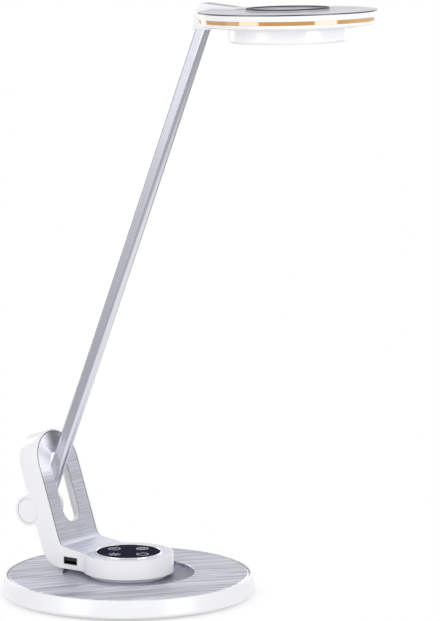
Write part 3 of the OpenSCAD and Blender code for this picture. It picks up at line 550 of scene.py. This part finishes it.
dark_tin, start = finish("dark_tin", (0.3, 0.3, 0.32), 0.3, 1.0)
feed(start, {"Roughness": 0.25 + 0.12 * cloud(start, 0.002, 3)})
gilt, start = finish("gilt", (0.85, 0.6, 0.22), 0.25, 1.0)
feed(start, {"Roughness": 0.2 + 0.12 * cloud(start, 0.001, 3)})
dress(dark_tin, "usb_shell")
dress(black_plastic, "usb_tongue")
low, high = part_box("usb_tongue")
contacts, contact_pitch, contact_long = 4, 0.0022, 0.008
contact_in, contact_down = 0.001, 0.00274
contact_mesh = formed("socket_contacts", {
    "Contacts": contacts, "First x": (low.x + high.x) / 2 - contact_pitch * (contacts - 1) / 2,
    "Y": low.y + contact_long / 2 + contact_in, "Z": high.z - contact_down,
    "Pitch": contact_pitch, "Width": 0.001, "Length": contact_long,
}, contact_row, gilt)
bring("socket_contacts", contact_mesh, "bracket", "brass_parts")


# Arm hinge: a plated bolt through the moulded boss and the arm's barrel, with friction washers on both sides
# of the barrel, a nut that sets how stiff it is, and two white snap-on caps over the bolt's ends.
dress(plated_steel, "hinge_bolt", "hinge_nut", "hinge_washers")
dress(white_moulding, "hinge_cap_near", "hinge_cap_far", "arm_knuckle")


# Arm: a flat-oval extruded aluminium tube, satin brushed along its length. One set screw holds it on the
# knuckle's tongue, another holds the plug in its upper end, and the wire to the head runs inside.
arm_lean = radians(22.1)
arm_grain = brushed("arm_grain", (0, arm_lean - pi / 2, 0), (0.73, 0.74, 0.81), (0.12, 0.0015), 0.12,
                    roughness=0.18, metallic=0.9)
wire_jacket, start = finish("wire_jacket", (0.02, 0.02, 0.02), 0.5)
feed(start, {"Roughness": 0.45 + 0.12 * cloud(start, 0.003, 2)})
dress(arm_grain, "arm_tube")
dress(black_plastic, "arm_top_plug")
dress(wire_jacket, "arm_wire")
dress(plated_steel, "arm_set_screws")


# Neck: a white moulded fork that straddles the tube's end on a pin and carries the head,
# with a brushed strip let into its top. Its outer edges have a finer mould round than the bracket's.
neck_side, neck_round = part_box("neck_shell")[1].y, 0.0006


def on_neck_edge(corner):
    """True on the outline of the fork's two outer sides."""
    return abs(abs(corner.y) - neck_side) < 2e-5


neck_mesh = rounded("neck_shell", white_moulding, on_neck_edge, neck_round)
bring("neck_fork", neck_mesh, "head", "white_plastic", "neck_shell")
neck_grain = brushed("neck_grain", (0, 0, 0), (0.4, 0.405, 0.44), (0.03, 0.001), 0.7)
dress(neck_grain, "neck_inlay")
dress(plated_steel, "neck_pin", "neck_washers", "neck_screws")


# Head: a white moulded rim with a clear amber band let in, a brushed aluminium plate stuck on top,
# and a satin ring round a sunk disc in the middle, with its top lip painted near black as a dark reflection.
plate_mesh = frame["nodes"]["head_plate"].data
low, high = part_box("head_plate")
head_middle = (low + high) / 2
head_up = max((face for face in plate_mesh.polygons if face.normal.z > 0.9),
              key=lambda face: face.area).normal.copy()
plate_reach = max((corner.co - head_middle).cross(head_up).length for corner in plate_mesh.vertices)
# A thin line of painted shade darkens the head plate's rim and side wall.
head_grain = brushed("head_grain", (0, 0, radians(52)), (0.74, 0.745, 0.78), (0.07, 0.003), 0.7,
                     line=rim_shade_line(head_middle, head_up, plate_reach))
amber, start = finish("amber", (0.58, 0.28, 0.035), 0.1, IOR=2.4)
crowned = start.node("ShaderNodeVectorMath", {"operation": "MULTIPLY"},
                     {0: from_point(start, head_middle), 1: Vector((1, 1, 0))})
crowned = start.node("ShaderNodeVectorTransform",
                     {"vector_type": "NORMAL", "convert_from": "OBJECT", "convert_to": "WORLD"},
                     {"Vector": crowned})
feed(start, {"Roughness": 0.06 + 0.05 * cloud(start, 0.004, 2), "Normal": crowned})
ring_mesh = frame["nodes"]["centre_ring"].data
ring_top = max((corner.co - head_middle).dot(head_up) for corner in ring_mesh.vertices)
lip_from, lip_full = ring_top - 0.0011, ring_top - 0.0007
satin_ring, start = finish("satin_ring", (0.45, 0.45, 0.48), 0.55, 0.25)
# The ring's top lip is painted near black as a dark reflection.
painted_lip_reflection = along(start, from_point(start, head_middle), head_up).between(lip_from, lip_full)
feed(start, {"Base Color": painted_lip_reflection.blend((0.45, 0.45, 0.48), (0.02, 0.02, 0.025))})
dress(white_moulding, "head_shell")
dress(amber, "amber_band")
dress(head_grain, "head_plate", "centre_disc")
dress(satin_ring, "centre_ring")


# Light: an aluminium heat spreader and a white board with rings of LED chips are screwed up inside the head.
# The opal drum that spreads the light is moulded in one piece and let into the head from below.
spreader, start = finish("spreader", (0.6, 0.6, 0.61), 0.4, 1.0)
feed(start, {"Roughness": 0.35 + 0.12 * cloud(start, 0.004, 3)})
board_white, start = finish("board_white", (0.8, 0.8, 0.79), 0.4)
feed(start, {"Roughness": 0.35 + 0.1 * cloud(start, 0.003, 2)})
phosphor, start = finish("phosphor", (0.8, 0.62, 0.1), 0.5)
feed(start, {"Base Color": cloud(start, 0.001, 2).blend((0.78, 0.58, 0.08), (0.82, 0.66, 0.14))})
opal, start = finish("opal", (0.86, 0.86, 0.87), 0.35, Coat_Weight=0.6, Coat_Roughness=0.04)
feed(start, {"Roughness": 0.3 + 0.1 * cloud(start, 0.01)})
dress(spreader, "heat_spreader")
dress(board_white, "led_board")
dress(phosphor, "led_chips")
dress(plated_steel, "led_screws")
dress(opal, "diffuser")


# Studio: a white floor that fades into a white surround, a tall soft box at each side of the camera, weaker
# ones at the back and a weak light above. Polished pieces mirror the boxes with a darker room between them.
studio = bpy.context.scene
front_side = Vector((0.6, -0.8, 0))
left_side = Vector((-0.8, -0.6, 0))


def grey_of(start, level):
    return start.node("ShaderNodeCombineColor", {}, {0: level, 1: level, 2: level})


def rays(start):
    """1 where the camera looks, also through something clear, and 1 where a polished piece looks."""
    camera_ray, clear_ray, mirror_ray = (
        start.node("ShaderNodeLightPath", {}, {}, name)
        for name in ("Is Camera Ray", "Is Transmission Ray", "Is Glossy Ray"))
    return start.math("MAXIMUM", camera_ray, clear_ray), mirror_ray


world = bpy.data.worlds.new("studio_surround")
world.use_nodes = True
studio.world = world
start = Wire(world.node_tree)
seen, mirrored = rays(start)
heading = start.node("ShaderNodeTexCoord", {}, {}, "Generated")
front, left, height = (along(start, heading, side) for side in (front_side, left_side, Vector((0, 0, 1))))
dim = start.math("MAXIMUM", 0.6 * front.between(-0.2, 0.6), 0.38 * left.between(0.3, 0.95))
room = grey_of(start, 0.95 - dim * (1 - height.between(0.25, 0.5)))
fill = grey_of(start, 0.58 + 0.4 * front.between(0.0, 0.9) * (1 - height.between(0.1, 0.5)))
colour = seen.blend(mirrored.blend(fill, room), (1, 1, 1))
start.join(world.node_tree.nodes["Background"], {"Color": colour, "Strength": 1.0})

floor_reach, floor_drop = 1.4, 0.0003
shade_from, shade_to = 0.07, 0.112
floor_mesh = bpy.data.meshes.new("floor")
work = bmesh.new()
bmesh.ops.create_circle(work, cap_ends=True, radius=floor_reach, segments=96)
bmesh.ops.translate(work, verts=work.verts, vec=(0, 0, -floor_drop))
work.to_mesh(floor_mesh)
work.free()
floor = bpy.data.objects.new("floor", floor_mesh)
studio.collection.objects.link(floor)
floor_paint, start = finish("floor_paint", (0.86, 0.86, 0.87), 0.7)
seen, mirrored = rays(start)
distance = start.node("ShaderNodeVectorMath", {"operation": "LENGTH"}, {0: place_of(start)}, "Value")
away = distance.between(shade_from, shade_to)
sheen = grey_of(start, 1 - 0.58 * distance.between(0.35, 0.65))
glow = start.node("ShaderNodeEmission", {}, {"Color": mirrored.blend((1, 1, 1), sheen), "Strength": 1.0})
paint = Wire(floor_paint.node_tree, floor_paint.node_tree.nodes["Principled BSDF"].outputs[0])
shown = start.math("MAXIMUM", seen, mirrored) * away
laid = start.node("ShaderNodeMixShader", {}, {0: shown, 1: paint, 2: glow})
start.join(floor_paint.node_tree.nodes["Material Output"], {"Surface": laid})
floor_mesh.materials.append(floor_paint)


def soft_box(name, at, aim, width, height, power):
    """A rectangular studio lamp that faces a point."""
    lamp = bpy.data.lights.new(name, "AREA")
    lamp.shape = "RECTANGLE"
    lamp.size = width
    lamp.size_y = height
    lamp.energy = power
    holder = bpy.data.objects.new(name, lamp)
    turned = (Vector(aim) - Vector(at)).to_track_quat("-Z", "Y")
    holder.matrix_world = Matrix.Translation(at) @ turned.to_matrix().to_4x4()
    holder.visible_camera = False
    studio.collection.objects.link(holder)


soft_box("top_light", (0.1, -0.2, 1.7), (0.05, 0, 0.2), 1.3, 1.3, 0.6)
soft_box("left_box", (-0.319, -1.568, 0.72), (0, 0, 0.72), 0.8, 1.0, 8)
soft_box("right_box", (1.593, -0.153, 0.72), (0, 0, 0.72), 0.8, 1.0, 9)
soft_box("edge_box", (-0.963, -1.278, 0.58), (0, 0, 0.58), 0.5, 0.8, 0.7)
soft_box("back_left_box", (-1.545, 0.414, 0.6), (0, 0, 0.6), 0.6, 1.0, 4)
soft_box("back_right_box", (-0.21, 1.586, 0.6), (0, 0, 0.6), 0.6, 1.0, 4)


# Camera: a long lens under three metres away and a little above the table, turned to the lamp's right front.
# It looks past the lamp's middle and leans a little, so that the lamp stands where the picture has it.
camera_turn, camera_rise, camera_roll = radians(37), radians(8.37), radians(-0.34)
camera_far = 2.7
pixels_long, focal_pixels = 621, 3464.6
aim_right, aim_down = 93.08 / focal_pixels, 6.75 / focal_pixels
sight = Vector((0, 0, 0.23))
back = Vector((sin(camera_turn) * cos(camera_rise), -cos(camera_turn) * cos(camera_rise), sin(camera_rise)))
right = Vector((cos(camera_turn), sin(camera_turn), 0))
up = back.cross(right)
right, up = (right * cos(camera_roll) + up * sin(camera_roll),
             up * cos(camera_roll) - right * sin(camera_roll))
look = (-back + aim_right * right - aim_down * up).normalized()
up = (up - look * up.dot(look)).normalized()
right = look.cross(up)
lens = bpy.data.cameras.new("camera")
lens.sensor_width = 36
lens.lens = focal_pixels / pixels_long * lens.sensor_width
lens.clip_end = 20
camera = bpy.data.objects.new("camera", lens)
turned = Matrix((right, up, -look)).transposed().to_4x4()
camera.matrix_world = Matrix.Translation(sight + back * camera_far) @ turned
studio.collection.objects.link(camera)
studio.camera = camera
studio.view_settings.view_transform = "Standard"
